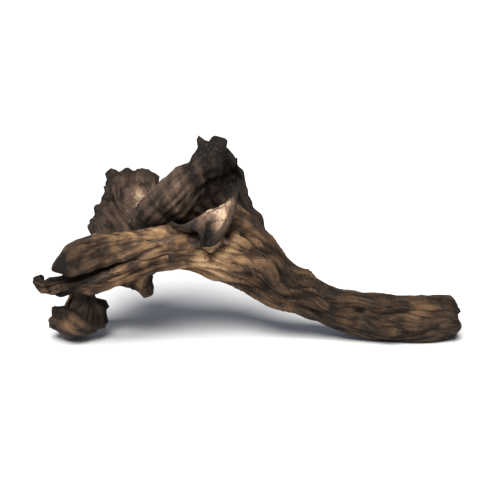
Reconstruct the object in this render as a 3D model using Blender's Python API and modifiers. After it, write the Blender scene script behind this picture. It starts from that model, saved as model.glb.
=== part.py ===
"""A dried black trumpet mushroom, lying as it fell: a hollow stem that opens into a ragged, curled funnel.

The fruiting body grew as one piece, so it is one closed solid. Its wall is lofted: the stem follows a
centreline through a few stations, and the funnel follows guides, curves from the stem's throat to the rim.
X runs from the cap (-) to the stem's foot (+), the near side faces -Y, and Z is up from the table.
"""

import math

import bpy
import numpy as np

MM = 0.001

# The wall's thickness at the foot, the throat and the rim
WALL_FOOT = 1.3
WALL_THROAT = 0.95
WALL_RIM = 0.62

# Stem stations from the foot to the throat: centre x, y, z, half height, half width, in millimetres
STEM = (
    (30.0, 0.9, 2.65, 2.10, 2.50),
    (26.0, 0.5, 2.60, 2.80, 2.90),
    (20.5, 0.2, 3.15, 2.65, 2.70),
    (15.5, 0.1, 4.20, 2.35, 2.45),
    (11.0, 0.1, 5.60, 2.25, 2.40),
    (6.0, 0.2, 8.20, 2.70, 2.80),
    (1.0, 0.3, 12.30, 4.20, 4.00),
)
# The foot's rounded end: share of the radius, and how far past the first station it lies
FOOT_END = ((0.62, 0.9), (0.0, 1.35))
# The hollow's blunt end lies this far from the first station towards the second
HOLLOW_START = 0.6

# The funnel's guides, round the throat from the corner of the mouth above the stem, by way of the back:
# name, shoulder x, y, z, rim x, y, z, and the curled edge: the way that it curls, its length, its turn in
# degrees, and the share of its length that it turns over, past which it is straight
GUIDES = (
    ("corner", (-0.2, -1.4, 20.0), (-0.5, -2.8, 21.2), (0.5, -0.9, 0.0), 1.4, 60, 0.6),
    ("saddle", (0.4, 0.4, 19.0), (0.0, 0.6, 21.2), (1.0, 0.1, 0.0), 1.2, 50, 1.0),
    ("right edge", (0.6, 2.4, 19.4), (0.1, 2.6, 22.4), (1.0, 0.5, 0.0), 1.0, 40, 1.0),
    ("peak, right flank", (0.6, 4.4, 20.4), (-0.6, 3.8, 24.4), (0.7, 0.8, 0.0), 1.8, 60, 1.0),
    ("peak", (-1.4, 5.2, 20.4), (-2.6, 3.2, 25.0), (0.0, 1.0, 0.2), 3.6, 85, 1.0),
    ("peak, left flank", (-3.2, 5.0, 18.2), (-4.8, 1.6, 21.6), (-0.4, 1.0, 0.4), 6.4, 165, 1.0),
    ("fold, brow", (-6.4, 4.2, 15.6), (-9.2, 0.8, 18.0), (-0.4, 1.0, 0.5), 5.8, 170, 1.0),
    ("fold, foot", (-9.0, 3.4, 13.8), (-13.2, 0.8, 16.4), (-0.3, 0.8, 0.8), 3.2, 140, 1.0),
    ("fold, behind", (-9.8, 5.2, 13.2), (-13.6, 4.4, 15.4), (0.2, 0.0, 1.0), 0.8, 15, 1.0),
    ("back lobe, right", (-9.0, 7.6, 14.2), (-10.8, 7.4, 20.6), (0.6, 0.5, 0.4), 0.8, 15, 1.0),
    ("back lobe, tip", (-11.8, 8.6, 14.8), (-14.6, 8.6, 20.8), (-0.2, 1.0, 0.1), 1.6, 80, 1.0),
    ("back lobe, left", (-13.0, 8.2, 13.4), (-17.4, 7.8, 20.6), (-0.7, 0.8, 0.0), 1.6, 80, 1.0),
    ("back lobe, side", (-13.6, 7.0, 12.0), (-18.0, 6.8, 17.2), (-0.8, 0.6, -0.2), 1.4, 60, 1.0),
    ("left back", (-14.0, 5.4, 11.4), (-18.8, 5.4, 13.8), (-0.6, 0.5, -0.7), 1.0, 30, 1.0),
    ("notch behind the scroll", (-12.8, 3.8, 12.2), (-17.6, 4.6, 11.2), (0.0, 0.2, -1.0), 0.6, 10, 1.0),
    ("scroll, left side", (-19.6, 2.8, 11.8), (-22.8, 4.2, 8.2), (0.0, -0.4, -1.0), 0.6, 10, 1.0),
    ("scroll, left", (-20.0, 2.2, 12.4), (-22.6, 3.7, 7.0), (-0.3, -1.0, 0.0), 12.6, 205, 1.0),
    ("scroll, middle", (-19.8, 1.6, 12.6), (-21.6, 3.6, 6.4), (-0.1, -1.0, 0.0), 15.5, 225, 1.0),
    ("scroll, right", (-19.8, 1.2, 12.6), (-20.9, 3.4, 6.8), (0.1, -1.0, 0.0), 12.8, 200, 1.0),
    ("scroll, finger", (-19.0, 0.6, 12.5), (-20.4, 2.6, 6.9), (1.0, -0.7, 0.3), 3.8, 100, 1.0),
    ("scroll, right side", (-17.2, -0.2, 13.0), (-19.4, 1.2, 9.0), (0.3, -1.0, 0.0), 0.6, 10, 1.0),
    ("split", (-7.6, -1.4, 14.2), (-11.0, -1.8, 13.0), (0.0, -0.5, -1.0), 0.6, 5, 1.0),
    ("small lobe", (-10.2, -4.6, 14.0), (-12.0, -3.8, 10.6), (0.3, -0.3, -1.0), 2.9, 70, 1.0),
    ("lower edge", (-13.8, -6.2, 12.4), (-17.0, -4.6, 10.2), (0.0, -0.8, -0.8), 0.6, 10, 1.0),
    ("hook, root", (-17.0, -6.6, 11.0), (-21.2, -5.2, 8.9), (0.0, -1.0, -0.2), 0.6, 10, 1.0),
    ("hook, low side", (-19.0, -6.8, 10.4), (-25.3, -5.6, 8.9), (0.0, -0.3, 1.0), 4.8, 165, 1.0),
    ("hook, high side", (-19.0, -7.0, 10.8), (-24.7, -5.8, 9.8), (0.0, -0.3, 1.0), 2.8, 150, 1.0),
    ("crease", (-14.0, -7.0, 11.8), (-20.6, -6.0, 11.6), (0.0, -1.0, 0.0), 0.6, 10, 1.0),
    ("tongue, low end", (-17.8, -8.8, 13.0), (-23.8, -6.8, 12.3), (0.1, 1.0, -0.1), 2.2, 60, 1.0),
    ("tongue, high end", (-17.8, -8.4, 14.6), (-22.8, -5.4, 14.8), (0.1, 0.9, -0.6), 2.4, 80, 1.0),
    ("tongue, top edge", (-15.0, -7.6, 15.2), (-17.6, -5.0, 16.8), (0.1, 0.8, -0.5), 2.0, 110, 1.0),
    ("front lip", (-9.4, -6.4, 15.0), (-10.2, -4.6, 16.9), (0.0, 0.8, -0.5), 1.6, 90, 1.0),
    ("flap, left", (-6.0, -3.6, 17.8), (-6.3, -5.4, 18.9), (0.0, -0.2, -1.0), 2.0, 70, 0.6),
    ("flap", (-2.7, -2.9, 20.7), (-2.9, -5.2, 20.9), (-0.2, -0.2, -1.0), 6.6, 88, 0.4),
)
# Where the first guide leaves the throat, counted from its top towards the back
FIRST_GUIDE_AT = math.radians(-10)
# A guide leaves the throat along the stem and a little outwards, for this share of its reach
HANDLE_SHARE = 0.34
THROAT_FLARE = 0.25
# How much faster the curled edge turns towards its end
CURL_GROWTH = 1.3

# Lengthwise wrinkles of the dried outside: ridges round it, their slant in radians, their share of the height
RIDGE_HEIGHT = 0.42
RIDGES = ((7, 3.6, 0.55), (11, -5.2, 0.30), (17, 2.8, 0.15))
# The wrinkles' share of their height at the foot, past it, at the throat, at the rim and at the curled end
RIDGE_FADE = (0.3, 1.0, 1.0, 0.7, 0.3)
# They fade out between these heights, so that the underside lies even on the table
RIDGE_FREE_BELOW, RIDGE_FULL_ABOVE = 0.5, 2.5

# The torn edge: the notches round it, where they start in radians, and their depth in millimetres. A longer
# edge than LONGEST_TORN is a curl that the mushroom may rest on, so it keeps its length
NOTCHES = ((19, 1.2, 0.40), (31, 4.1, 0.30))
LONGEST_TORN = 9.0
SHORTEST_EDGE = 0.3

# The loft's columns and rows, the steps that each row of the curled edge is worked out in, and how often its
# directions are evened out
COLUMNS_PER_GUIDE = 4
STEM_ROWS = 8
FUNNEL_ROWS = 8
CURL_ROWS = 7
CURL_STEPS = 8
NORMAL_SMOOTHING = 3

# The lofted wall folds over itself at its curls, so it is fused into one clean skin and thinned out
FUSE_VOXEL = 0.3
THINNED_SHARE = 0.0875

# A ring smaller than this is a single point
POINT_LIMIT = 1e-9

# The slab that cuts the underside flat where it lies on the table
SLAB_SIZE = (90.0, 60.0, 10.0)

# The middle of the part's box in the drawing above, which becomes the origin
BOX_MIDDLE = (1.61, 0.59)

SKIN_COLOUR = (0.075, 0.052, 0.040, 1.0)
SKIN_ROUGHNESS = 0.85


def closed_curve(values, at):
    """A closed curve with next to no overshoot through evenly spaced values, read at the places `at`."""
    values = np.asarray(values, float)
    step = np.roll(values, -1, 0) - values
    before = np.roll(step, 1, 0)
    limit = 2 * np.minimum(abs(step), abs(before))
    tangent = np.clip((step + before) / 2, -limit, limit)
    base = np.floor(at).astype(int)
    t = (at - base).reshape((-1,) + (1,) * (values.ndim - 1))
    past = (base + 1) % len(values)
    return (
        values[base] * (1 + 2 * t) * (1 - t) ** 2
        + values[past] * t**2 * (3 - 2 * t)
        + tangent[base] * t * (1 - t) ** 2
        - tangent[past] * t**2 * (1 - t)
    )


def open_curve(values, at):
    """A smooth open curve through evenly spaced values, read at the places `at`, counted in values."""
    values = np.asarray(values, float)
    padded = np.vstack([2 * values[0] - values[1], values, 2 * values[-1] - values[-2]])
    base = np.minimum(np.floor(at).astype(int), len(values) - 2)
    t = (at - base)[:, None]
    a, b, c, d = (padded[base + k] for k in range(4))
    return b + t / 2 * (c - a + t * (2 * a - 5 * b + 4 * c - d + t * (3 * (b - c) + d - a)))


def unit(vectors):
    return vectors / np.linalg.norm(vectors, axis=-1, keepdims=True)


def smooth_step(x, low, high):
    t = np.clip((x - low) / (high - low), 0, 1)
    return t * t * (3 - 2 * t)


def stem_line(row_count):
    """The stem's stations at even steps, with the directions along, up from and behind its centreline."""
    stations = open_curve(STEM, np.linspace(0, 1, row_count) * (len(STEM) - 1))
    along = unit(np.gradient(stations[:, :3], axis=0))
    back = unit(np.cross([0.0, 0.0, 1.0], along) * -1)
    up = np.cross(along, back)
    up *= np.sign(up[:, 2:3])
    return stations, along, up, back


def wall_middle(at):
    """The middle of the wall, as rows of points from the foot to the rim, a point for each place in `at`."""
    stations, along, up, back = stem_line(STEM_ROWS)
    bearing = 2 * math.pi * at / len(GUIDES) + FIRST_GUIDE_AT
    spoke_up = np.cos(bearing)[None, :, None] * up[:, None]
    spoke_back = np.sin(bearing)[None, :, None] * back[:, None]
    spokes = stations[:, None, 3:4] * spoke_up + stations[:, None, 4:5] * spoke_back
    stem = stations[:, None, :3] + spokes

    throat = stem[-1]
    shoulder = closed_curve([guide[1] for guide in GUIDES], at)
    rim = closed_curve([guide[2] for guide in GUIDES], at)
    edge_length = closed_curve([guide[4] for guide in GUIDES], at)
    torn = sum(depth * np.cos(count * bearing + start) for count, start, depth in NOTCHES)
    edge_length = np.where(edge_length < LONGEST_TORN, edge_length + torn, edge_length)
    edge_length = np.maximum(edge_length, SHORTEST_EDGE)[:, None]
    edge_turn = np.radians(closed_curve([guide[5] for guide in GUIDES], at))[:, None]
    bend_share = closed_curve([guide[6] for guide in GUIDES], at)[:, None]

    reach = np.linalg.norm(rim - throat, axis=1, keepdims=True)
    flare = unit(along[-1] + THROAT_FLARE * (spoke_up + spoke_back)[-1])
    handle = throat + reach * HANDLE_SHARE * flare
    t = np.linspace(0, 1, FUNNEL_ROWS + 1)[1:, None, None]
    funnel = (1 - t) ** 3 * throat + 3 * t * (1 - t) ** 2 * handle
    funnel = funnel + 3 * t**2 * (1 - t) * shoulder + t**3 * rim

    # The curled edge leaves the rim along the wall, and turns ever faster towards the end of its bend
    heading = unit(rim - shoulder)
    away = closed_curve([guide[3] for guide in GUIDES], at)
    away = unit(away - heading * (away * heading).sum(1, keepdims=True))
    curl = []
    point = rim
    for step in range(CURL_ROWS * CURL_STEPS):
        bent = np.minimum((step + 0.5) / (CURL_ROWS * CURL_STEPS) / bend_share, 1) ** CURL_GROWTH
        travel = edge_length / (CURL_ROWS * CURL_STEPS)
        point = point + travel * (np.cos(edge_turn * bent) * heading + np.sin(edge_turn * bent) * away)
        if (step + 1) % CURL_STEPS == 0:
            curl.append(point)
    return np.concatenate([stem, funnel, np.array(curl)])


def wall_normals(points):
    """Directions square to the wall that point out of the mushroom, evened out between neighbours."""
    across = np.roll(points, -1, 1)
    faces = np.cross(across[1:] - points[:-1], points[1:] - across[:-1])
    faces = np.pad(faces, ((1, 1), (0, 0), (0, 0)))
    normals = faces[1:] + faces[:-1]
    normals = normals + np.roll(normals, 1, 1)
    for _ in range(NORMAL_SMOOTHING):
        padded = np.pad(normals, ((1, 1), (0, 0), (0, 0)), mode="edge")
        normals = padded[2:] + padded[:-2] + 2 * normals
        normals = np.roll(normals, 1, 1) + np.roll(normals, -1, 1) + 2 * normals
    return unit(normals)


def skins():
    """The wall's outer and inner skins, as rows of points from the foot to the rim."""
    column_count = len(GUIDES) * COLUMNS_PER_GUIDE
    at = np.arange(column_count) / COLUMNS_PER_GUIDE
    middle = wall_middle(at)
    normals = wall_normals(middle)
    row = np.arange(len(middle))
    wall = np.interp(row, (0, STEM_ROWS - 1, len(middle) - 1), (WALL_FOOT, WALL_THROAT, WALL_RIM))
    wall = wall[:, None, None]

    bearing = 2 * math.pi * at / len(GUIDES)
    height = row[:, None] / (len(middle) - 1)
    wrinkle = sum(share * np.cos(count * bearing + slant * height) for count, slant, share in RIDGES)
    fade = np.interp(row, (0, 2, STEM_ROWS, len(middle) - CURL_ROWS, len(middle) - 1), RIDGE_FADE)
    clear = smooth_step(middle[:, :, 2], RIDGE_FREE_BELOW, RIDGE_FULL_ABOVE)
    wrinkle = wrinkle * fade[:, None] * RIDGE_HEIGHT * clear

    middle = middle + normals * wrinkle[:, :, None]
    return middle + normals * wall / 2, middle - normals * wall / 2


def build_wall(name):
    outer, inner = skins()
    stations, along, _, _ = stem_line(STEM_ROWS)
    foot = stations[0, :3]

    rings = []
    for share, past in reversed(FOOT_END):
        rings.append(foot + (outer[0] - foot) * share - along[0] * past)
    rings.extend(outer)
    turn_ring = len(rings)
    rings.extend(inner[:0:-1])
    hollow_end = foot + (stations[1, :3] - foot) * HOLLOW_START
    rings.append(np.broadcast_to(hollow_end, outer[0].shape))

    vertices = []
    index = []
    for ring in rings:
        single = np.ptp(ring, axis=0).max() < POINT_LIMIT
        start = len(vertices)
        vertices.extend(ring[:1] if single else ring)
        index.append([start] * len(ring) if single else list(range(start, start + len(ring))))

    faces = []
    count = len(rings[0])
    for lower, (first, second) in enumerate(zip(index, index[1:])):
        for here in range(count):
            there = (here + 1) % count
            a, b, c, d = first[here], first[there], second[there], second[here]
            split = ((a, b, c), (a, c, d)) if lower < turn_ring - 1 else ((a, b, d), (b, c, d))
            faces.extend(face for face in split if len(set(face)) == 3)

    vertices = np.array(vertices)
    vertices[:, :2] -= BOX_MIDDLE
    mesh = bpy.data.meshes.new(name)
    mesh.from_pydata((vertices * MM).tolist(), [], faces)
    mesh.shade_smooth()
    return bpy.data.objects.new(name, mesh)


def build_slab(name):
    """A block whose top is the table."""
    corners = np.array([(x, y, z) for z in (-1, 0) for y in (-0.5, 0.5) for x in (-0.5, 0.5)]) * SLAB_SIZE
    faces = ((0, 2, 3, 1), (4, 5, 7, 6), (0, 1, 5, 4), (2, 6, 7, 3), (0, 4, 6, 2), (1, 3, 7, 5))
    mesh = bpy.data.meshes.new(name)
    mesh.from_pydata((corners * MM).tolist(), [], faces)
    slab = bpy.data.objects.new(name, mesh)
    slab.hide_render = True
    slab.display_type = "WIRE"
    return slab


def finish(body, slab):
    fuse = body.modifiers.new("fuse", "REMESH")
    fuse.mode = "VOXEL"
    fuse.voxel_size = FUSE_VOXEL * MM
    fuse.use_smooth_shade = True
    thin = body.modifiers.new("thin out", "DECIMATE")
    thin.ratio = THINNED_SHARE
    flatten = body.modifiers.new("flat underside", "BOOLEAN")
    flatten.operation = "DIFFERENCE"
    flatten.solver = "EXACT"
    flatten.object = slab


def skin_material():
    material = bpy.data.materials.new("dried_skin")
    material.use_nodes = True
    shader = material.node_tree.nodes["Principled BSDF"]
    shader.inputs["Base Color"].default_value = SKIN_COLOUR
    shader.inputs["Roughness"].default_value = SKIN_ROUGHNESS
    shader.inputs["Metallic"].default_value = 0.0
    return material


def build():
    for item in list(bpy.data.objects):
        bpy.data.objects.remove(item, do_unlink=True)
    collection = bpy.data.collections.new("black_trumpet_mushroom")
    bpy.context.scene.collection.children.link(collection)
    body = build_wall("trumpet_body")
    body.data.materials.append(skin_material())
    collection.objects.link(body)
    cutters = bpy.data.collections.new("cutters")
    bpy.context.scene.collection.children.link(cutters)
    slab = build_slab("table_slab")
    cutters.objects.link(slab)
    finish(body, slab)


build()
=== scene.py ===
"""A dried black trumpet mushroom, lying on a white table."""

import math

import bpy
import numpy as np
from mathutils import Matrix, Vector, noise


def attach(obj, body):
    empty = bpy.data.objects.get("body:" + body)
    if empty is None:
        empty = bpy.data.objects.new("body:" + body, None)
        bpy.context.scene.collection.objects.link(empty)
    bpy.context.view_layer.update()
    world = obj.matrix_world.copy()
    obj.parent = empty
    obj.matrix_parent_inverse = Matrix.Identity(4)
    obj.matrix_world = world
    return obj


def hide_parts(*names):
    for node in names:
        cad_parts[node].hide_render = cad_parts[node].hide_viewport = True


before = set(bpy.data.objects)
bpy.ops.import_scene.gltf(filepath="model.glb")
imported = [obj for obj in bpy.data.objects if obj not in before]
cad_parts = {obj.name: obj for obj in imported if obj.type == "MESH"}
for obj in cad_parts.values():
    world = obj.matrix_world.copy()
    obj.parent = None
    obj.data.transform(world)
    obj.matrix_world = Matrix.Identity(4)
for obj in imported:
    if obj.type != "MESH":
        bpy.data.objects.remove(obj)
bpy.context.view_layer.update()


# The form of the fruiting body. A black trumpet is one sheet of thin flesh: the stem is a tube, and opens
# into a funnel whose rim splits, rolls and curls as it dries. The sheet follows guides from the throat to
# the rim, which are the same as the solid's, in millimetres.
MM = 0.001
# The middle of the solid's box, measured from the guides' own zero
BOX_MIDDLE = np.array((1.61, 0.59, 0.0))
# Stations of the stem from the foot to the throat: centre x, y, z, half height, half width
STEM = (
    (30.0, 0.9, 2.65, 2.10, 2.50),
    (26.0, 0.5, 2.60, 2.80, 2.90),
    (20.5, 0.2, 3.15, 2.65, 2.70),
    (15.5, 0.1, 4.20, 2.35, 2.45),
    (11.0, 0.1, 5.60, 2.25, 2.40),
    (6.0, 0.2, 8.20, 2.70, 2.80),
    (1.0, 0.3, 12.30, 4.20, 4.00),
)
# Guides round the throat, from the corner of the mouth above the stem, by way of the back: name, shoulder,
# rim, and the curled edge: the way that it curls, its length, its turn in degrees, and the share of its
# length that it turns over
GUIDES = (
    ("corner", (-0.2, -1.4, 20.0), (-0.5, -2.8, 21.2), (0.5, -0.9, 0.0), 1.4, 60, 0.6),
    ("saddle", (0.4, 0.4, 19.0), (0.0, 0.6, 21.2), (1.0, 0.1, 0.0), 1.2, 50, 1.0),
    ("right edge", (0.6, 2.4, 19.4), (0.1, 2.6, 22.4), (1.0, 0.5, 0.0), 1.0, 40, 1.0),
    ("peak, right flank", (0.6, 4.4, 20.4), (-0.6, 3.8, 24.4), (0.7, 0.8, 0.0), 1.8, 60, 1.0),
    ("peak", (-1.4, 5.2, 20.4), (-2.6, 3.2, 25.0), (0.0, 1.0, 0.2), 3.6, 85, 1.0),
    ("peak, left flank", (-3.2, 5.0, 18.2), (-4.8, 1.6, 21.6), (-0.4, 1.0, 0.4), 6.4, 165, 1.0),
    ("fold, brow", (-6.4, 4.2, 15.6), (-9.2, 0.8, 18.0), (-0.4, 1.0, 0.5), 5.8, 170, 1.0),
    ("fold, foot", (-9.0, 3.4, 13.8), (-13.2, 0.8, 16.4), (-0.3, 0.8, 0.8), 3.2, 140, 1.0),
    ("fold, behind", (-9.8, 5.2, 13.2), (-13.6, 4.4, 15.4), (0.2, 0.0, 1.0), 0.8, 15, 1.0),
    ("back lobe, right", (-9.0, 7.6, 14.2), (-10.8, 7.4, 20.6), (0.6, 0.5, 0.4), 0.8, 15, 1.0),
    ("back lobe, tip", (-11.8, 8.6, 14.8), (-14.6, 8.6, 20.8), (-0.2, 1.0, 0.1), 1.6, 80, 1.0),
    ("back lobe, left", (-13.0, 8.2, 13.4), (-17.4, 7.8, 20.6), (-0.7, 0.8, 0.0), 1.6, 80, 1.0),
    ("back lobe, side", (-13.6, 7.0, 12.0), (-18.0, 6.8, 17.2), (-0.8, 0.6, -0.2), 1.4, 60, 1.0),
    ("left back", (-14.0, 5.4, 11.4), (-18.8, 5.4, 13.8), (-0.6, 0.5, -0.7), 1.0, 30, 1.0),
    ("notch behind the scroll", (-12.8, 3.8, 12.2), (-17.6, 4.6, 11.2), (0.0, 0.2, -1.0), 0.6, 10, 1.0),
    ("scroll, left side", (-19.6, 2.8, 11.8), (-22.8, 4.2, 8.2), (0.0, -0.4, -1.0), 0.6, 10, 1.0),
    ("scroll, left", (-20.0, 2.2, 12.4), (-22.6, 3.7, 7.0), (-0.3, -1.0, 0.0), 12.6, 205, 1.0),
    ("scroll, middle", (-19.8, 1.6, 12.6), (-21.6, 3.6, 6.4), (-0.1, -1.0, 0.0), 15.5, 225, 1.0),
    ("scroll, right", (-19.8, 1.2, 12.6), (-20.9, 3.4, 6.8), (0.1, -1.0, 0.0), 12.8, 200, 1.0),
    ("scroll, finger", (-19.0, 0.6, 12.5), (-20.4, 2.6, 6.9), (1.0, -0.7, 0.3), 3.8, 100, 1.0),
    ("scroll, right side", (-17.2, -0.2, 13.0), (-19.4, 1.2, 9.0), (0.3, -1.0, 0.0), 0.6, 10, 1.0),
    ("split", (-7.6, -1.4, 14.2), (-11.0, -1.8, 13.0), (0.0, -0.5, -1.0), 0.6, 5, 1.0),
    ("small lobe", (-10.2, -4.6, 14.0), (-12.0, -3.8, 10.6), (0.3, -0.3, -1.0), 2.9, 70, 1.0),
    ("lower edge", (-13.8, -6.2, 12.4), (-17.0, -4.6, 10.2), (0.0, -0.8, -0.8), 0.6, 10, 1.0),
    ("hook, root", (-17.0, -6.6, 11.0), (-21.2, -5.2, 8.9), (0.0, -1.0, -0.2), 0.6, 10, 1.0),
    ("hook, low side", (-19.0, -6.8, 10.4), (-25.3, -5.6, 8.9), (0.0, -0.3, 1.0), 4.8, 165, 1.0),
    ("hook, high side", (-19.0, -7.0, 10.8), (-24.7, -5.8, 9.8), (0.0, -0.3, 1.0), 2.8, 150, 1.0),
    ("crease", (-14.0, -7.0, 11.8), (-20.6, -6.0, 11.6), (0.0, -1.0, 0.0), 0.6, 10, 1.0),
    ("tongue, low end", (-17.8, -8.8, 13.0), (-23.8, -6.8, 12.3), (0.1, 1.0, -0.1), 2.2, 60, 1.0),
    ("tongue, high end", (-17.8, -8.4, 14.6), (-22.8, -5.4, 14.8), (0.1, 0.9, -0.6), 2.4, 80, 1.0),
    ("tongue, top edge", (-15.0, -7.6, 15.2), (-17.6, -5.0, 16.8), (0.1, 0.8, -0.5), 2.0, 110, 1.0),
    ("front lip", (-9.4, -6.4, 15.0), (-10.2, -4.6, 16.9), (0.0, 0.8, -0.5), 1.6, 90, 1.0),
    ("flap, left", (-6.0, -3.6, 17.8), (-6.3, -5.4, 18.9), (0.0, -0.2, -1.0), 2.0, 70, 0.6),
    ("flap", (-2.7, -2.9, 20.7), (-2.9, -5.2, 20.9), (-0.2, -0.2, -1.0), 6.6, 88, 0.4),
)
FIRST_GUIDE_AT = math.radians(-10)
# A guide leaves the throat in line with the stem and a little outwards, for this share of its reach
THROAT_FLARE = 0.25
HANDLE_SHARE = 0.34
# An edge curls more and more towards its end, by this power of the way along it
CURL_GROWTH = 1.3
SHORTEST_EDGE = 0.3
# Points round the sheet, and rows of them up the stem, up the funnel and along the curled edge
COLUMNS = 380
STEM_ROWS = 52
FUNNEL_ROWS = 52
CURL_ROWS = 34
# Steps from one guide to the next in which the way round the sheet is measured
STEPS_A_GUIDE = 40


def closed_curve(values, at):
    """A closed curve with next to no overshoot through evenly spaced values, read at `at`, in values."""
    values = np.asarray(values, float)
    step = np.roll(values, -1, 0) - values
    before = np.roll(step, 1, 0)
    limit = 2 * np.minimum(abs(step), abs(before))
    tangent = np.clip((step + before) / 2, -limit, limit)
    base = np.floor(at).astype(int) % len(values)
    t = (at - np.floor(at)).reshape((-1,) + (1,) * (values.ndim - 1))
    past = (base + 1) % len(values)
    return (
        values[base] * (1 + 2 * t) * (1 - t) ** 2
        + values[past] * t**2 * (3 - 2 * t)
        + tangent[base] * t * (1 - t) ** 2
        - tangent[past] * t**2 * (1 - t)
    )


def open_curve(values, at):
    """A smooth open curve through evenly spaced values, read at `at`, in values."""
    values = np.asarray(values, float)
    padded = np.vstack([2 * values[0] - values[1], values, 2 * values[-1] - values[-2]])
    base = np.minimum(np.floor(at).astype(int), len(values) - 2)
    t = (at - base)[:, None]
    a, b, c, d = (padded[base + k] for k in range(4))
    return b + t / 2 * (c - a + t * (2 * a - 5 * b + 4 * c - d + t * (3 * (b - c) + d - a)))


def unit(vectors):
    return vectors / np.linalg.norm(vectors, axis=-1, keepdims=True)


def smooth_step(x, low, high):
    t = np.clip((x - low) / (high - low), 0, 1)
    return t * t * (3 - 2 * t)


def sheet_rows(at, extra_length, extra_turn):
    """The middle of the flesh as rows of points from the foot to the edge, one for each place in `at`."""
    stations = open_curve(STEM, np.linspace(0, 1, STEM_ROWS) * (len(STEM) - 1))
    along = unit(np.gradient(stations[:, :3], axis=0))
    back = unit(np.cross([0.0, 0.0, 1.0], along) * -1)
    up = np.cross(along, back)
    up *= np.sign(up[:, 2:3])
    bearing = 2 * math.pi * at / len(GUIDES) + FIRST_GUIDE_AT
    spoke_up = np.cos(bearing)[None, :, None] * up[:, None]
    spoke_back = np.sin(bearing)[None, :, None] * back[:, None]
    stem = stations[:, None, :3] + stations[:, None, 3:4] * spoke_up + stations[:, None, 4:5] * spoke_back

    throat = stem[-1]
    shoulder = closed_curve([guide[1] for guide in GUIDES], at)
    rim = closed_curve([guide[2] for guide in GUIDES], at)
    away = closed_curve([guide[3] for guide in GUIDES], at)
    length = np.maximum(closed_curve([guide[4] for guide in GUIDES], at) + extra_length, SHORTEST_EDGE)
    length = length[:, None]
    turn = np.radians(closed_curve([guide[5] for guide in GUIDES], at) + extra_turn)[:, None]
    share = closed_curve([guide[6] for guide in GUIDES], at)[:, None]

    reach = np.linalg.norm(rim - throat, axis=1, keepdims=True)
    handle = throat + reach * HANDLE_SHARE * unit(along[-1] + THROAT_FLARE * (spoke_up + spoke_back)[-1])
    t = np.linspace(0, 1, FUNNEL_ROWS + 1)[1:, None, None]
    near, far = 3 * t * (1 - t) ** 2, 3 * t**2 * (1 - t)
    funnel = (1 - t) ** 3 * throat + near * handle + far * shoulder + t**3 * rim

    heading = unit(rim - shoulder)
    away = unit(away - heading * (away * heading).sum(1, keepdims=True))
    edge = []
    point = rim
    for step in range(CURL_ROWS):
        bent = np.minimum((step + 0.5) / CURL_ROWS / share, 1) ** CURL_GROWTH
        point = point + length / CURL_ROWS * (np.cos(turn * bent) * heading + np.sin(turn * bent) * away)
        edge.append(point)
    return np.concatenate([stem, funnel, np.array(edge)])


def sheet_normals(points, evenings):
    """Directions square to the sheet that point out of the mushroom, evened out between neighbours."""
    across = np.roll(points, -1, 1)
    faces = np.cross(across[1:] - points[:-1], points[1:] - across[:-1])
    faces = np.pad(faces, ((1, 1), (0, 0), (0, 0)))
    normals = faces[1:] + faces[:-1]
    normals = normals + np.roll(normals, 1, 1)
    for _ in range(evenings):
        padded = np.pad(normals, ((1, 1), (0, 0), (0, 0)), mode="edge")
        normals = padded[2:] + padded[:-2] + 2 * normals
        normals = np.roll(normals, 1, 1) + np.roll(normals, -1, 1) + 2 * normals
    return unit(normals)


def even_columns(count):
    """Places round the guides that lie evenly round the upper half of the funnel."""
    at = np.linspace(0, len(GUIDES), STEPS_A_GUIDE * len(GUIDES) + 1)
    rows = sheet_rows(at, 0, 0)
    gaps = np.linalg.norm(np.diff(rows[STEM_ROWS + FUNNEL_ROWS // 2 :], axis=1), axis=2).mean(0)
    walked = np.concatenate([[0], np.cumsum(gaps)])
    return np.interp(np.arange(count) / count * walked[-1], walked, at)


# How the flesh dried. It shrank onto its lengthwise fibres, so the tube is pleated, and the funnel is
# crumpled like thin leather, with a torn, ruffled edge. Each layer is noise on the sheet's own grain, which
# wraps round it. Heights and lengths are in millimetres, and waves round the sheet are counted in sixes.
# Pleats: height, sixes of them round the sheet, and how long each runs
PLEATS = ((1.00, 1.5, 18.0), (0.74, 3.6, 11.0), (0.40, 8.0, 7.0), (0.15, 19.0, 4.0))
# How far the pleats turn round the mushroom on their way from the foot to the edge, in radians
PLEAT_TWIST = 1.3
# How far they waver from side to side on the stem and on the funnel, in radians, and how long one waver is
WAVER_BY_PART = (0.42, 0.12)
WAVER_LENGTH = 6.0
# Sharp furrows between the pleats
FURROW_DEPTH, FURROW_SIXES, FURROW_LENGTH = 0.50, 3.0, 20.0
FURROW_NARROWNESS, FURROW_SHARPNESS = 2.2, 1.75
# Crumples: height and size
CRUMPLES = ((0.20, 3.8), (0.18, 1.8), (0.10, 0.9))
# How strong each of these is on the stem and on the funnel
PLEATS_BY_PART = (1.1, 1.0)
FURROWS_BY_PART = (1.0, 0.7)
CRUMPLES_BY_PART = (0.6, 1.1)
# Rows before and after the throat, between which the stem's relief turns into the funnel's
THROAT_ROWS = (-14, 16)
# The mean height of ridges made from noise, which is taken off to leave the sheet where it is
RIDGE_MEAN = 0.2
# Wrinkles along the curled edges: height, sixes of breaks in them round the sheet, and how wide each is
EDGE_WRINKLES = ((0.62, 1.4, 1.5), (0.30, 4.0, 0.7))
# They fade out between these distances from the edge, and an edge that turns this far has all of them
WRINKLED_BAND = (4.0, 9.5)
FULL_CURL = 120
# The torn edge: how far it comes and goes, and sixes of teeth round it
TEETH = ((0.88, 9.0), (0.64, 26.0), (0.352, 60.0))
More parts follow.
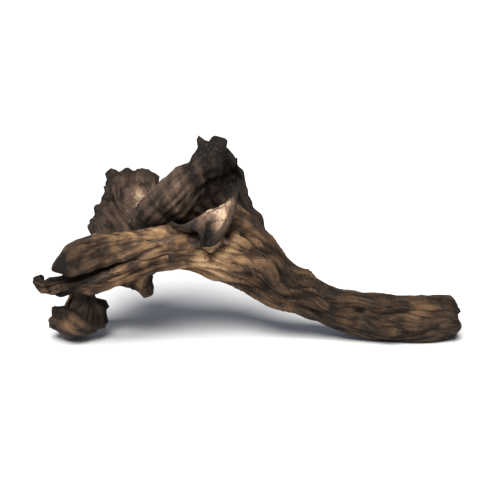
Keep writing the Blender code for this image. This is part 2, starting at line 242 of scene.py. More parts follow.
# How ragged the edge is at some of the guides, and everywhere else
RAGGED = {
    "peak, right flank": 2.4,
    "peak": 3.0,
    "fold, behind": 0.8,
    "back lobe, right": 0.5,
    "back lobe, tip": 1.3,
    "back lobe, left": 1.7,
    "back lobe, side": 1.3,
    "left back": 0.9,
    "scroll, left": 0.8,
    "scroll, finger": 1.0,
    "small lobe": 1.0,
    "hook, low side": 0.5,
    "flap": 0.5,
}
EVEN = 0.25
# Where the edge runs on past its guide (+) or stops short of it (-)
LONGER = {"left back": 1.9, "back lobe, side": 0.4, "scroll, finger": -1.6}
# How far a ragged edge curls more or less than its guide, in degrees, and sixes of such turns round it
RUFFLE_TURN, RUFFLE_TURN_SIXES = 34, 16.0
# Ruffles of the edge: height and sixes of them round it; how long each is, and how wide a band they take
RUFFLES = ((0.8, 14.0), (0.5, 33.0))
RUFFLE_LENGTH = 3.0
EDGE_BAND = 2.6
# Creases that run down the sheet from a notch in its edge: the guide, depth, width in guides, and reach
CREASES = (("crease", 1.3, 0.5, 15.0), ("split", 0.5, 0.5, 9.0), ("fold, behind", 0.5, 0.6, 8.0))
# Long folds that the sheet was pressed into: points along each, its depth (- stands out) and its half width
FOLDS = (
    ("under the lip", ((-20.5, -8.0, 12.3), (-15.5, -8.2, 14.0), (-10.5, -7.2, 16.0)), 1.1, 0.7),
    ("middle of the flap", ((-3.0, -5.4, 21.0), (-3.9, -7.0, 19.0), (-4.4, -7.4, 16.0)), -0.9, 0.8),
    ("flap's root", ((-6.2, -5.0, 16.2), (-3.6, -4.6, 13.6), (-1.0, -3.8, 17.0)), 0.95, 0.55),
    (
        "shoulder to foot",
        ((0.6, -2.8, 16.2), (5.2, -2.4, 11.2), (10.0, -1.8, 7.4), (17.0, -2.0, 5.0)),
        0.8,
        0.55,
    ),
    (
        "front of the stem",
        ((-1.0, -4.4, 11.5), (4.5, -3.2, 8.0), (9.5, -2.6, 5.2), (16.0, -2.6, 3.8)),
        0.55,
        0.5,
    ),
    ("lower stem", ((13.0, -2.2, 5.4), (20.0, -2.7, 3.4), (27.5, -2.2, 2.6)), 0.6, 0.5),
    ("top of the stem", ((6.5, 0.4, 11.0), (12.0, 0.8, 7.6), (20.0, 0.2, 5.8), (28.0, 1.0, 4.7)), 0.6, 0.5),
    ("back of the stem", ((2.0, 4.2, 12.0), (9.0, 2.8, 7.2), (18.0, 2.8, 3.8), (26.0, 3.2, 2.8)), 0.6, 0.5),
    ("back of the funnel", ((1.0, 4.2, 14.0), (-4.0, 6.6, 13.0), (-9.0, 8.0, 13.4)), 0.6, 0.6),
    ("under the funnel", ((2.0, 1.6, 8.4), (-5.0, 2.6, 9.6), (-12.0, 3.6, 11.0)), 0.5, 0.6),
    ("peak's back", ((0.5, 3.8, 19.0), (-1.8, 5.4, 22.0), (-2.6, 5.4, 25.0)), 0.5, 0.5),
)
# Small folds that stand out of the outside, or (-) of the inside: the place, its radius and its height
BULGES = (
    ("behind the shoulder", (1.6, 1.6, 16.6), 1.4, 1.3),
    ("on the throat", (4.2, -1.8, 11.6), 1.6, 0.6),
    ("on the stem's back", (9.5, 1.4, 8.4), 2.0, 0.7),
    ("low on the stem", (15.0, -1.6, 4.6), 1.8, 0.5),
    ("near the foot", (25.0, -1.4, 4.4), 2.0, 0.5),
    ("under the throat", (-4.0, -2.2, 9.2), 2.0, 0.6),
    ("scroll's front", (-22.6, -2.6, 3.6), 2.2, 0.9),
    ("tongue's end", (-22.4, -6.6, 14.9), 2.0, 1.1),
    ("beside the scroll", (-19.3, 2.1, 4.6), 0.7, 2.3),
    ("hook's tip", (-26.4, -6.3, 11.6), 0.9, 1.1),
    ("crown, left", (-4.9, 3.9, 27.2), 0.6, -1.9),
    ("crown, right", (-2.0, 3.8, 27.4), 0.6, -1.5),
)
# The relief is pressed flat on the table, and is whole from the second of these heights up
PRESSED_HEIGHTS = (0.4, 2.6)
# How often the directions are evened in which the relief and the wall's two faces stand out
RELIEF_EVENINGS, WALL_EVENINGS = 6, 2
# The flesh's thickness at the foot, at the throat, THINNING_ROWS short of the curled edge, and at its end
WALL = (1.15, 0.8, 0.46, 0.24)
THINNING_ROWS = 10
# The edge's last ring stands out by this share of a row
EDGE_ROUNDING = 0.3
# The blunt foot: rings as a share of the tube's radius, and how far each lies past the tube's end
FOOT_END = ((0.94, 0.25), (0.80, 0.55), (0.60, 0.75), (0.38, 0.72), (0.16, 0.5), (0.0, 0.4))
# How high and how wide its crumples are, and how soon they reach their height from its outside inwards
FOOT_CRUMPLE, FOOT_CRUMPLE_SIZE, FOOT_CRUMPLE_GROWTH = 0.9, 1.3, 4
# The stem's hollow is out of sight: more than so many rows below the throat, one ring in six is kept
SEEN_HOLLOW_ROWS, HIDDEN_RING_STEP = 10, 6
# The lowest skin lies this far above the table, and a ring smaller than the second value is a single point
TABLE_GAP, SMALLEST_RING = 0.02, 1e-6
# Painted light and shade: ridges are painted paler and the furrows beside them darker, as light falls on the
# one and shade in the other. How many rings of neighbours a point is compared with, the height over them at
# which it is as pale as it gets, and the share of this in the colour
RIDGE_SHADING = ((3, 0.05, 0.45), (22, 0.45, 0.75))
# The grain's own coordinates: units round the sheet, beside one unit a millimetre along it
GRAIN_ROUND = 150.0
# How thickly small scales stand on the inside and the outside, and the heights over which they start
SCALY_INSIDE, SCALY_OUTSIDE = 1.0, 0.22
SCALY_HEIGHTS = (0.3, 0.8)
# Where the flesh is paler (+) or darker (-), some of it painted light and shade: the place, its radius, and
# how much
TONES = (
    # Paler bloom on the flap, with painted light on its top, which faces the lamp
    ("flap", (-2.8, -6.0, 21.2), 2.8, 6.6),
    # Painted shadow in the fold under the flap's end
    ("flap's lower edge", (-4.4, -6.9, 17.0), 2.0, -3.2),
    # Paler bloom along the lip, with a painted highlight on its top, which faces the lamp
    ("lip, far end", (-16.5, -5.6, 16.8), 2.6, 1.4),
    ("lip, near end", (-12.0, -5.0, 17.0), 3.0, 2.1),
    ("tongue", (-17.0, -8.0, 14.2), 3.6, -1.4),
    ("tongue's end", (-23.6, -7.0, 13.2), 3.2, -2.4),
    ("front of the throat", (-4.4, -4.0, 12.4), 3.6, 3.6),
    ("under the tongue", (-16.5, -6.5, 11.4), 2.6, 2.2),
    ("right of the throat", (-0.4, -4.0, 14.0), 3.0, 2.2),
    ("below the throat", (4.8, -2.2, 10.4), 3.0, -1.4),
    ("back lobe", (-13.0, 8.0, 17.5), 3.8, 4.9),
    ("peak's band", (-7.4, 1.0, 19.2), 3.8, 2.0),
    ("peak, top", (-3.4, 2.8, 25.8), 3.4, -2.4),
    ("crown", (-3.6, 3.6, 28.0), 1.6, -1.2),
    # Painted shade on the peak's right flank, which faces away from the lamp
    ("peak, right flank", (-0.4, 3.8, 22.0), 3.4, -1.6),
    ("strip above the scroll", (-21.0, 2.6, 10.5), 3.0, 0.4),
    ("scroll", (-22.6, -1.5, 2.4), 3.6, -1.0),
    ("behind the shoulder", (2.2, 1.6, 17.2), 2.6, -2.2),
    ("hook", (-25.0, -6.0, 9.0), 3.6, -1.0),
    ("top of the stem", (6.0, 2.0, 11.5), 4.0, -1.0),
    ("middle of the stem", (11.0, -0.5, 6.0), 4.5, -1.7),
    ("lower stem", (20.0, 0.0, 3.5), 6.5, -1.9),
    ("foot", (30.0, 0.5, 3.0), 4.0, -2.2),
)
# Places in the noise where each layer starts, and steps from one of its waves to the next
PLEAT_STEP, CRUMPLE_STEP = 3.0, 11.0
TEETH_START, RUFFLE_TURN_START, FURROW_START, RUFFLE_START, WRINKLE_START = 5.0, 31.0, 57.0, 57.0, 90.0


def noise_at(places):
    """Smooth noise, from about -1 to 1, at each place."""
    flat = places.reshape(-1, 3)
    values = [noise.noise(Vector(place)) for place in flat]
    return np.array(values).reshape(places.shape[:-1])


def on_grain(bearing, along, sixes, length, start):
    """Noise with about `sixes` times six waves round the sheet, each stretched to `length` mm along it."""
    ring = np.broadcast_arrays(np.cos(bearing) * sixes, np.sin(bearing) * sixes + start, along / length)
    return noise_at(np.stack(ring, axis=-1))


def ridged(values):
    """Noise folded into sharp ridges about a mean of nothing."""
    return abs(values) - RIDGE_MEAN


def by_part(strengths, funnel_share):
    """A strength that goes over from the stem's to the funnel's."""
    on_stem, on_funnel = strengths
    return on_stem + (on_funnel - on_stem) * funnel_share


def spot(rows, place, radius):
    """A soft round spot on the sheet, 1 at its middle."""
    return np.exp(-((np.linalg.norm(rows - np.array(place), axis=2) / radius) ** 2))


def distance_to_line(places, points):
    """How far each place is from a line through the points."""
    nearest = np.full(places.shape[:2], np.inf)
    for start, end in zip(points, points[1:]):
        start = np.array(start)
        run = np.array(end) - start
        share = np.clip((places - start) @ run / (run @ run), 0, 1)
        nearest = np.minimum(nearest, np.linalg.norm(places - start - share[..., None] * run, axis=2))
    return nearest


def evened(values, times):
    """Values on the sheet, averaged with their neighbours."""
    for _ in range(times):
        padded = np.pad(values, ((1, 1), (0, 0)), mode="edge")
        values = (padded[2:] + padded[:-2] + 2 * values) / 4
        values = (np.roll(values, 1, 1) + np.roll(values, -1, 1) + 2 * values) / 4
    return values


def torn_edge(at, round_sheet):
    """How much longer than its guides the edge is, how much further it curls, and how ragged it is."""
    flat = np.zeros(COLUMNS)
    teeth = sum(
        height * on_grain(round_sheet, flat, sixes, 1, TEETH_START + sixes) for height, sixes in TEETH
    )
    turn = RUFFLE_TURN * on_grain(round_sheet, flat, RUFFLE_TURN_SIXES, 1, RUFFLE_TURN_START)
    ragged = closed_curve([RAGGED.get(guide[0], EVEN) for guide in GUIDES], at)
    longer = closed_curve([LONGER.get(guide[0], 0.0) for guide in GUIDES], at)
    return teeth * ragged + longer, turn * ragged, ragged


def pleats_and_crumples(rows, bearing, along, funnel_share):
    """The height of the pleats, of the furrows between them, and of the crumples."""
    pleats = sum(
        height * ridged(on_grain(bearing, along, sixes, length, PLEAT_STEP * k))
        for k, (height, sixes, length) in enumerate(PLEATS)
    )
    lines = abs(on_grain(bearing, along, FURROW_SIXES, FURROW_LENGTH, FURROW_START))
    furrows = -FURROW_DEPTH * np.clip(1 - FURROW_NARROWNESS * lines, 0, 1) ** FURROW_SHARPNESS
    crumples = sum(
        height * noise_at(rows / size + CRUMPLE_STEP * k) for k, (height, size) in enumerate(CRUMPLES)
    )
    return (
        pleats * by_part(PLEATS_BY_PART, funnel_share)
        + furrows * by_part(FURROWS_BY_PART, funnel_share)
        + crumples * by_part(CRUMPLES_BY_PART, funnel_share)
    )


def edge_wrinkles(at, round_sheet, from_edge, funnel_share):
    """The height of the wrinkles along the curled edges."""
    wrinkles = sum(
        height * ridged(on_grain(round_sheet, from_edge, sixes, width, WRINKLE_START + sixes))
        for height, sixes, width in EDGE_WRINKLES
    )
    curled = np.clip(closed_curve([guide[5] for guide in GUIDES], at) / FULL_CURL, 0, 1)
    return wrinkles * curled * (1 - smooth_step(from_edge, *WRINKLED_BAND)) * funnel_share


def single_folds(rows, at, from_edge, funnel_share):
    """The height of the bulges, creases and long folds that are placed one by one."""
    relief = sum(height * spot(rows, place, radius) for _, place, radius, height in BULGES)
    for name, depth, width, reach in CREASES:
        guide = next(k for k, row in enumerate(GUIDES) if row[0] == name)
        beside = np.exp(-(((at - guide) / width) ** 2))
        relief = relief - depth * beside * (1 - smooth_step(from_edge, reach / 2, reach)) * funnel_share
    for _, points, depth, width in FOLDS:
        relief = relief - depth * np.exp(-((distance_to_line(rows, points) / width) ** 2))
    return relief


def dried_sheet():
    """The middle of the dried flesh as rows of points, its thickness, and what colours each point.

    That is how far it stands over its neighbours, which paints light on its ridges and shade in its furrows,
    how near it is to the edge, its grain and its tone, part of which is painted light and shade.
    """
    at = even_columns(COLUMNS)
    round_sheet = 2 * math.pi * np.arange(COLUMNS) / COLUMNS
    extra_length, extra_turn, ragged = torn_edge(at, round_sheet)
    rows = sheet_rows(at, extra_length, extra_turn)

    steps = np.linalg.norm(np.diff(rows, axis=0), axis=2)
    along = np.concatenate([np.zeros((1, COLUMNS)), np.cumsum(steps, axis=0)])
    from_edge = along[-1] - along
    edge_share = 1 - smooth_step(from_edge, 0, EDGE_BAND)
    level = np.arange(len(rows))
    funnel_share = smooth_step(level, STEM_ROWS + THROAT_ROWS[0], STEM_ROWS + THROAT_ROWS[1])[:, None]

    waver = by_part(WAVER_BY_PART, funnel_share)
    bearing = round_sheet + PLEAT_TWIST * along / along.max() + waver * noise_at(rows / WAVER_LENGTH)
    relief = pleats_and_crumples(rows, bearing, along, funnel_share)
    relief = relief - edge_wrinkles(at, round_sheet, from_edge, funnel_share)
    relief = relief + single_folds(rows, at, from_edge, funnel_share)
    ruffles = sum(
        height * on_grain(round_sheet, along, sixes, RUFFLE_LENGTH, RUFFLE_START + sixes)
        for height, sixes in RUFFLES
    )
    ruffles = ruffles * edge_share**2 * ragged
    free = smooth_step(rows[:, :, 2], *PRESSED_HEIGHTS)
    rows = rows + sheet_normals(rows, RELIEF_EVENINGS) * ((relief + ruffles) * free)[:, :, None]

    curl_start = STEM_ROWS + FUNNEL_ROWS
    wall = np.interp(level, (0, STEM_ROWS - 1, curl_start - THINNING_ROWS, len(rows) - 1), WALL)
    # Painted light and shade: a point higher than its neighbours is painted paler, and one lower is painted
    # darker
    ridge_shading = sum(
        share * np.clip((relief - evened(relief, rings)) / full, -1, 1) for rings, full, share in RIDGE_SHADING
    )
    radius = GRAIN_ROUND / (2 * math.pi)
    grain = np.stack([np.cos(bearing) * radius, np.sin(bearing) * radius, along], axis=-1)
    tone = sum(amount * spot(rows, place, reach) for _, place, reach, amount in TONES)
    return rows, wall[:, None, None], ridge_shading, edge_share, grain, tone


def body_mesh(name):
    """The flesh as one closed skin: up the outside, over the torn edge, and down the inside."""
    rows, wall, ridge_shading, edge_share, grain, tone = dried_sheet()
    normals = sheet_normals(rows, WALL_EVENINGS)
    outer = rows + normals * wall / 2
    inner = rows - normals * wall / 2
    rings, paints = [], []

    def add_ring(points, inside, level, side):
        rings.append(points)
        scaly = SCALY_INSIDE if inside == 1.0 else SCALY_OUTSIDE
        scaly = scaly * smooth_step(points[:, 2], *SCALY_HEIGHTS)
        beside = (edge_share[level], ridge_shading[level] * side, tone[level], scaly, grain[level])
        paints.append((np.full(COLUMNS, inside), *beside))

    foot = rows[0].mean(0)
    heading = unit(foot - rows[1].mean(0))
    for share, past in reversed(FOOT_END):
        ring = foot + (outer[0] - foot) * share
        torn = FOOT_CRUMPLE * noise_at(ring / FOOT_CRUMPLE_SIZE)[:, None]
        torn = torn * min(1, FOOT_CRUMPLE_GROWTH * (1 - share))
        add_ring(ring + heading * (past + torn), 0.0, 0, 1)
    for level in range(len(outer)):
        add_ring(outer[level], 0.0, level, 1)
    add_ring(rows[-1] + (rows[-1] - rows[-2]) * EDGE_ROUNDING, 0.5, -1, 1)
    for level in range(len(inner) - 1, 0, -1):
        if level > STEM_ROWS - SEEN_HOLLOW_ROWS or level % HIDDEN_RING_STEP == 1:
            add_ring(inner[level], 1.0, level, -1)
    add_ring(np.broadcast_to(rows[1].mean(0), rows[0].shape), 1.0, 0, 1)

    places = np.array(rings) - BOX_MIDDLE
    places[:, :, 2] = np.maximum(places[:, :, 2], TABLE_GAP)
    index, vertices, paint = [], [], []
    for ring, parts in zip(places, paints):
        single = np.ptp(ring, axis=0).max() < SMALLEST_RING
        start = len(vertices)
        vertices.extend(ring[:1] if single else ring)
        paint.extend(zip(*(part[:1] if single else part for part in parts)))
        index.append([start] * COLUMNS if single else list(range(start, start + COLUMNS)))
    faces = []
    for first, second in zip(index, index[1:]):
        for here in range(COLUMNS):
            there = (here + 1) % COLUMNS
            corners = (first[here], first[there], second[there], second[here])
            faces.append(tuple(dict.fromkeys(corners)))
    mesh = bpy.data.meshes.new(name)
    mesh.from_pydata((np.array(vertices) * MM).tolist(), [], faces)
    mesh.shade_smooth()
    for place, key in enumerate(("inside", "edge", "ridge_shading", "tone", "scaly")):
        mesh.attributes.new(key, "FLOAT", "POINT").data.foreach_set("value", [part[place] for part in paint])
    fibre = np.array([part[-1] for part in paint], np.float32)
    mesh.attributes.new("grain", "FLOAT_VECTOR", "POINT").data.foreach_set("vector", fibre.ravel())
    return mesh


# The flesh itself: dried fungus tissue, matte and leathery. The outside is ash brown, with painted light on
# its ridges and painted shade in its furrows; the inside of the funnel is brown-black, and the torn edge is
# the darkest. Soft patches are paler or darker as a whole, some of them painted light and shade.
OUTSIDE_STOPS = ((0.22, "#211811"), (0.42, "#453528"), (0.62, "#745a41"), (0.86, "#a08867"))
INSIDE_STOPS = ((0.25, "#1b1613"), (0.62, "#4f4036"), (0.92, "#95816c"))
EDGE_DARK = "#17130f"
# How near to the edge its dark starts and is full, and how much of it covers the skin
EDGE_FADE = (0.55, 1.0)
EDGE_COVER = 0.75
# Widths in mm where the sheet is 150 mm round, near its edge, and how many times as long as wide they are
FIBRE_WIDTH, STREAK_WIDTH, GRAIN_STRETCH = 0.59, 3.3, 7.7
# Sizes in mm of the blotches of bloom, and of the specks of dirt, which are coarser than real dust to show
BLOTCH_SIZE, SPECK_SIZE = 3.0, 0.45
# How many finer layers of noise each has, and how strong those are
FIBRE_FINENESS = {"Detail": 8.0, "Roughness": 0.8}
STREAK_FINENESS = {"Detail": 3.0, "Roughness": 0.6}
BLOTCH_FINENESS = {"Detail": 4.0, "Roughness": 0.6}
SPECK_FINENESS = {"Detail": 5.0, "Roughness": 0.75}
# How much each pattern lightens the skin, from a base that brings their sum to the middle of the colours
BASE_LIGHTNESS = -0.46
RIDGE_SHADING_SHARE, FIBRE_SHARE, STREAK_SHARE = 0.20, 0.85, 0.24
BLOTCH_SHARE, SPECK_SHARE, TONE_SHARE = 0.26, 0.30, 0.06
# The darkest and the palest tone, and the brightness that they multiply the skin's colour by
TONE_RANGE = (-3.0, 7.0)
BRIGHTNESS_RANGE = (0.34, 2.8)
# The finest relief, in mm, and the specks' part in it
BUMP_STRENGTH, BUMP_HEIGHT, SPECK_BUMP = 0.9, 0.3, 0.35
FLESH_ROUGHNESS = 0.82
FLESH_IOR = 1.45
FLESH_SHEEN = 0.25


def linear(hex_colour):
    """An sRGB hex colour as linear red, green, blue and full alpha."""
    parts = [int(hex_colour[k : k + 2], 16) / 255 for k in (1, 3, 5)]
    return [c / 12.92 if c <= 0.04045 else ((c + 0.055) / 1.055) ** 2.4 for c in parts] + [1.0]


def add_node(tree, kind, settings=None, **links):
    """Adds a node: settings are its properties, and links its inputs by name or number, values or sockets."""
    node = tree.nodes.new(kind)
    for key, value in (settings or {}).items():
        setattr(node, key, value)
    for key, value in links.items():
        name = int(key[1:]) if key[0] == "n" and key[1:].isdigit() else key.replace("_", " ")
        if isinstance(value, bpy.types.NodeSocket):
            tree.links.new(value, node.inputs[name])
        else:
            node.inputs[name].default_value = value
    return node


def colour_ramp(tree, factor, stops):
    """A colour ramp through (place, sRGB hex) stops."""
    node = add_node(tree, "ShaderNodeValToRGB", Fac=factor)
    ramp = node.color_ramp
    while len(ramp.elements) < len(stops):
        ramp.elements.new(0.5)
    for element, (place, colour) in zip(ramp.elements, stops):
        element.position = place
        element.color = linear(colour)
    return node.outputs["Color"]


def flesh_material(name):
    material = bpy.data.materials.new(name)
    material.use_nodes = True
    tree = material.node_tree
    shader = tree.nodes["Principled BSDF"]
    inside = add_node(tree, "ShaderNodeAttribute", {"attribute_name": "inside"}).outputs["Fac"]
    edge = add_node(tree, "ShaderNodeAttribute", {"attribute_name": "edge"}).outputs["Fac"]
    # Painted light on the ridges and painted shade in the furrows
    ridge_shading = add_node(tree, "ShaderNodeAttribute", {"attribute_name": "ridge_shading"}).outputs["Fac"]
    # Tone: the flesh's own paler and darker patches, with painted light and shade among them
    tone = add_node(tree, "ShaderNodeAttribute", {"attribute_name": "tone"}).outputs["Fac"]
    grain = add_node(tree, "ShaderNodeAttribute", {"attribute_name": "grain"}).outputs["Vector"]
    place = add_node(tree, "ShaderNodeTexCoord").outputs["Object"]

    # Fibres run up the sheet, finer on the stem than near the edge, in wider streaks of bloom
    stretched = add_node(
        tree, "ShaderNodeMapping", Vector=grain, Scale=(1.0, 1.0, 1 / GRAIN_STRETCH)
    ).outputs[0]
    fibres = add_node(
        tree, "ShaderNodeTexNoise", Vector=stretched, Scale=1 / FIBRE_WIDTH, **FIBRE_FINENESS
    ).outputs["Fac"]
    streaks = add_node(
        tree, "ShaderNodeTexNoise", Vector=stretched, Scale=1 / STREAK_WIDTH, **STREAK_FINENESS
    ).outputs["Fac"]
    # Blotches of bloom and specks of dirt don't follow the grain
    blotches = add_node(
        tree, "ShaderNodeTexNoise", Vector=place, Scale=1 / (BLOTCH_SIZE * MM), **BLOTCH_FINENESS
    ).outputs["Fac"]
    specks = add_node(
        tree, "ShaderNodeTexNoise", Vector=place, Scale=1 / (SPECK_SIZE * MM), **SPECK_FINENESS
    ).outputs["Fac"]

    lightness = BASE_LIGHTNESS
    for part, share in (
        (ridge_shading, RIDGE_SHADING_SHARE),
        (fibres, FIBRE_SHARE),
        (streaks, STREAK_SHARE),
        (blotches, BLOTCH_SHARE),
        (specks, SPECK_SHARE),
        (tone, TONE_SHARE),
    ):
        lightness = add_node(
            tree, "ShaderNodeMath", {"operation": "MULTIPLY_ADD"}, n0=part, n1=share, n2=lightness
        ).outputs[0]
    outside = colour_ramp(tree, lightness, OUTSIDE_STOPS)
    within = colour_ramp(tree, lightness, INSIDE_STOPS)
    skin = add_node(tree, "ShaderNodeMix", {"data_type": "RGBA"}, n0=inside, n6=outside, n7=within).outputs[2]
    brightness = add_node(
        tree,
        "ShaderNodeMapRange",
        Value=tone,
        From_Min=TONE_RANGE[0],
        From_Max=TONE_RANGE[1],
        To_Min=BRIGHTNESS_RANGE[0],
        To_Max=BRIGHTNESS_RANGE[1],
    ).outputs[0]
    skin = add_node(
        tree, "ShaderNodeVectorMath", {"operation": "SCALE"}, n0=skin, Scale=brightness
    ).outputs[0]
    edge_fade = add_node(
        tree,
        "ShaderNodeMapRange",
        Value=edge,
        From_Min=EDGE_FADE[0],
        From_Max=EDGE_FADE[1],
        To_Min=0.0,
        To_Max=EDGE_COVER,
    ).outputs[0]
    skin = add_node(
        tree, "ShaderNodeMix", {"data_type": "RGBA"}, n0=edge_fade, n6=skin, n7=linear(EDGE_DARK)
    ).outputs[2]
    tree.links.new(skin, shader.inputs["Base Color"])

    shader.inputs["Roughness"].default_value = FLESH_ROUGHNESS
    shader.inputs["IOR"].default_value = FLESH_IOR
    shader.inputs["Specular IOR Level"].default_value = FLESH_SHEEN
    height = add_node(
        tree, "ShaderNodeMath", {"operation": "MULTIPLY_ADD"}, n0=specks, n1=SPECK_BUMP, n2=fibres
    ).outputs[0]
    bump = add_node(
        tree, "ShaderNodeBump", Height=height, Strength=BUMP_STRENGTH, Distance=BUMP_HEIGHT * MM
    ).outputs["Normal"]
    tree.links.new(bump, shader.inputs["Normal"])
    return material


flesh = flesh_material("dried_fungus_flesh")
body = bpy.data.objects.new("fruiting_body", body_mesh("fruiting_body"))
bpy.context.scene.collection.objects.link(body)
body.data.materials.append(flesh)


# The scurf: the lining of a black trumpet breaks into tiny brown-black scales as it dries, and crumbs of it
# and of soil cling to the outside. Each scale is a flat, matte grain of flesh that lies on the sheet, a
# little lifted. Real ones are finer still, and these are drawn as coarse as they need to show.
SCALES_PER_MM2 = 2.4
SCALE_LENGTH, SCALE_WIDTH, SCALE_THICKNESS = 0.30, 0.16, 0.055
# Single scales are this much smaller or larger, and all are tilted this far
SCALE_SMALLEST, SCALE_LARGEST = 0.45, 1.35
SCALE_TILT = math.radians(16)
SCALE_SEED, SCALE_SIZE_SEED, SCALE_SPIN_SEED = 5, 1, 2
# Patches in mm of darker and paler scales
PATCH_SIZE = 1.0
SCALE_STOPS = ((0.35, "#15100d"), (0.72, "#483a2f"))


def scale_material(name):
    material = bpy.data.materials.new(name)
    material.use_nodes = True
    tree = material.node_tree
    shader = tree.nodes["Principled BSDF"]
    place = add_node(tree, "ShaderNodeTexCoord").outputs["Object"]
    patches = add_node(
        tree, "ShaderNodeTexNoise", Vector=place, Scale=1 / (PATCH_SIZE * MM), Detail=2.0
    ).outputs["Fac"]
    tree.links.new(colour_ramp(tree, patches, SCALE_STOPS), shader.inputs["Base Color"])
    shader.inputs["Roughness"].default_value = FLESH_ROUGHNESS
    shader.inputs["IOR"].default_value = FLESH_IOR
    return material


def scale_tree(name, material):
    """Scatters small scales over a surface, as thickly as its attribute scaly says."""
    tree = bpy.data.node_groups.new(name, "GeometryNodeTree")
    tree.interface.new_socket("Surface", in_out="INPUT", socket_type="NodeSocketGeometry")
    for key, kind in (
        ("Density", "NodeSocketFloat"),
        ("Size", "NodeSocketVector"),
        ("Smallest", "NodeSocketFloat"),
        ("Largest", "NodeSocketFloat"),
        ("Tilt", "NodeSocketFloat"),
        ("Seed", "NodeSocketInt"),
    ):
        tree.interface.new_socket(key, in_out="INPUT", socket_type=kind)
    tree.interface.new_socket("Scales", in_out="OUTPUT", socket_type="NodeSocketGeometry")
    given = add_node(tree, "NodeGroupInput").outputs
    scaly = add_node(tree, "GeometryNodeInputNamedAttribute", {"data_type": "FLOAT"}, Name="scaly").outputs[0]
    density = add_node(
        tree, "ShaderNodeMath", {"operation": "MULTIPLY"}, n0=scaly, n1=given["Density"]
    ).outputs[0]
    points = add_node(
        tree,
        "GeometryNodeDistributePointsOnFaces",
        Mesh=given["Surface"],
        Density=density,
        Seed=given["Seed"],
    ).outputs
    # One grain, a unit across, that is then scaled to its size
    grain = add_node(tree, "GeometryNodeMeshIcoSphere", Radius=0.5, Subdivisions=1).outputs["Mesh"]
    grain = add_node(tree, "GeometryNodeTransform", Geometry=grain, Scale=given["Size"]).outputs[0]
    size = add_node(
        tree,
        "FunctionNodeRandomValue",
        {"data_type": "FLOAT"},
        n2=given["Smallest"],
        n3=given["Largest"],
        Seed=SCALE_SIZE_SEED,
    ).outputs[1]
    placed = add_node(
        tree,
        "GeometryNodeInstanceOnPoints",
        Points=points["Points"],
        Instance=grain,
        Rotation=points["Rotation"],
        Scale=size,
    ).outputs[0]
    spin = add_node(
        tree, "FunctionNodeRandomValue", {"data_type": "FLOAT"}, n2=0.0, n3=2 * math.pi, Seed=SCALE_SPIN_SEED
    ).outputs[1]
    turn = add_node(tree, "ShaderNodeCombineXYZ", X=0.0, Y=given["Tilt"], Z=spin).outputs[0]
    placed = add_node(tree, "GeometryNodeRotateInstances", Instances=placed, Rotation=turn).outputs[0]
    whole = add_node(tree, "GeometryNodeRealizeInstances", Geometry=placed).outputs[0]
    whole = add_node(tree, "GeometryNodeSetMaterial", Geometry=whole, Material=material).outputs[0]
    result = add_node(tree, "NodeGroupOutput")
    tree.links.new(whole, result.inputs["Scales"])
    return tree


scatter = body.modifiers.new("scurf", "NODES")
scatter.node_group = scale_tree("scurf_scales", scale_material("dried_scurf"))
given_sizes = {
    "Density": SCALES_PER_MM2 / MM**2,
    "Size": (SCALE_LENGTH * MM, SCALE_WIDTH * MM, SCALE_THICKNESS * MM),
    "Smallest": SCALE_SMALLEST,
    "Largest": SCALE_LARGEST,
    "Tilt": SCALE_TILT,
    "Seed": SCALE_SEED,
}
for item in scatter.node_group.interface.items_tree:
    if item.in_out == "INPUT" and item.name in given_sizes:
        scatter[item.identifier] = given_sizes[item.name]
depsgraph = bpy.context.evaluated_depsgraph_get()
scale_mesh = bpy.data.meshes.new_from_object(body.evaluated_get(depsgraph), depsgraph=depsgraph)
body.modifiers.remove(scatter)
scale_mesh.name = "scurf_scales"
# The first slot of the scattered mesh is empty: every scale has the scurf's own material, in the second
scale_mesh.materials.pop(index=0)
scales = bpy.data.objects.new("scurf_scales", scale_mesh)
bpy.context.scene.collection.objects.link(scales)
for piece in (body, scales):
    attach(piece, "root")
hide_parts("trumpet_body")


# The table: a plain sheet of matte white paper, far wider than the mushroom, with its ends out of sight.
TABLE_HALF_WIDTH = 3.0
PAPER_WHITE = "#dadce0"
PAPER_ROUGHNESS = 0.9

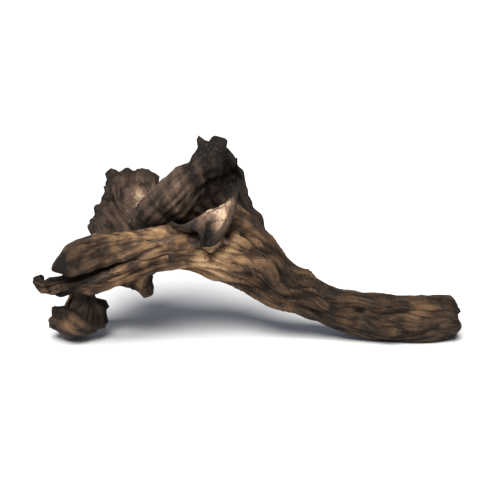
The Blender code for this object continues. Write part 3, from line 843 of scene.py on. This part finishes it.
floor_mesh = bpy.data.meshes.new("table")
corners = [(x * TABLE_HALF_WIDTH, y * TABLE_HALF_WIDTH, 0.0) for x, y in ((-1, -1), (1, -1), (1, 1), (-1, 1))]
floor_mesh.from_pydata(corners, [], [(0, 1, 2, 3)])
floor = bpy.data.objects.new("table", floor_mesh)
bpy.context.scene.collection.objects.link(floor)
paper = bpy.data.materials.new("white_paper")
paper.use_nodes = True
paper.node_tree.nodes["Principled BSDF"].inputs["Base Color"].default_value = linear(PAPER_WHITE)
paper.node_tree.nodes["Principled BSDF"].inputs["Roughness"].default_value = PAPER_ROUGHNESS
floor_mesh.materials.append(paper)


# The light: a large soft lamp above and in front, a little to the left, and a dim bluish surround.
LIGHT_FROM = (-0.10, -0.54, 0.84)
LIGHT_SPREAD = math.radians(38)
LIGHT_STRENGTH = 6.3
LIGHT_TINT = "#fffaf2"
SURROUND_TINT = "#dfe7f6"
SURROUND_STRENGTH = 0.27

surround = bpy.data.worlds.new("studio")
surround.use_nodes = True
surround.node_tree.nodes["Background"].inputs["Color"].default_value = linear(SURROUND_TINT)
surround.node_tree.nodes["Background"].inputs["Strength"].default_value = SURROUND_STRENGTH
bpy.context.scene.world = surround

lamp = bpy.data.lights.new("studio_light", "SUN")
lamp.energy = LIGHT_STRENGTH
lamp.angle = LIGHT_SPREAD
lamp.color = linear(LIGHT_TINT)[:3]
light = bpy.data.objects.new("studio_light", lamp)
light.rotation_euler = Vector(LIGHT_FROM).to_track_quat("Z", "Y").to_euler()
bpy.context.scene.collection.objects.link(light)


# The camera: a long lens in front of the mushroom, a little above the table. Distances are in metres.
CAMERA_LIFT = math.radians(18)
CAMERA_LENS = 120.0
CAMERA_DISTANCE = 0.232
CAMERA_AIM = (0.0, 0.0, 0.0130)
CAMERA_NEAR = 0.01

view = bpy.data.objects.new("camera", bpy.data.cameras.new("camera"))
view.data.lens = CAMERA_LENS
view.data.clip_start = CAMERA_NEAR
target = Vector(CAMERA_AIM)
view.location = target + CAMERA_DISTANCE * Vector((0.0, -math.cos(CAMERA_LIFT), math.sin(CAMERA_LIFT)))
view.rotation_euler = (target - view.location).to_track_quat("-Z", "Y").to_euler()
bpy.context.scene.collection.objects.link(view)
bpy.context.scene.camera = view
bpy.context.scene.view_settings.view_transform = "Standard"
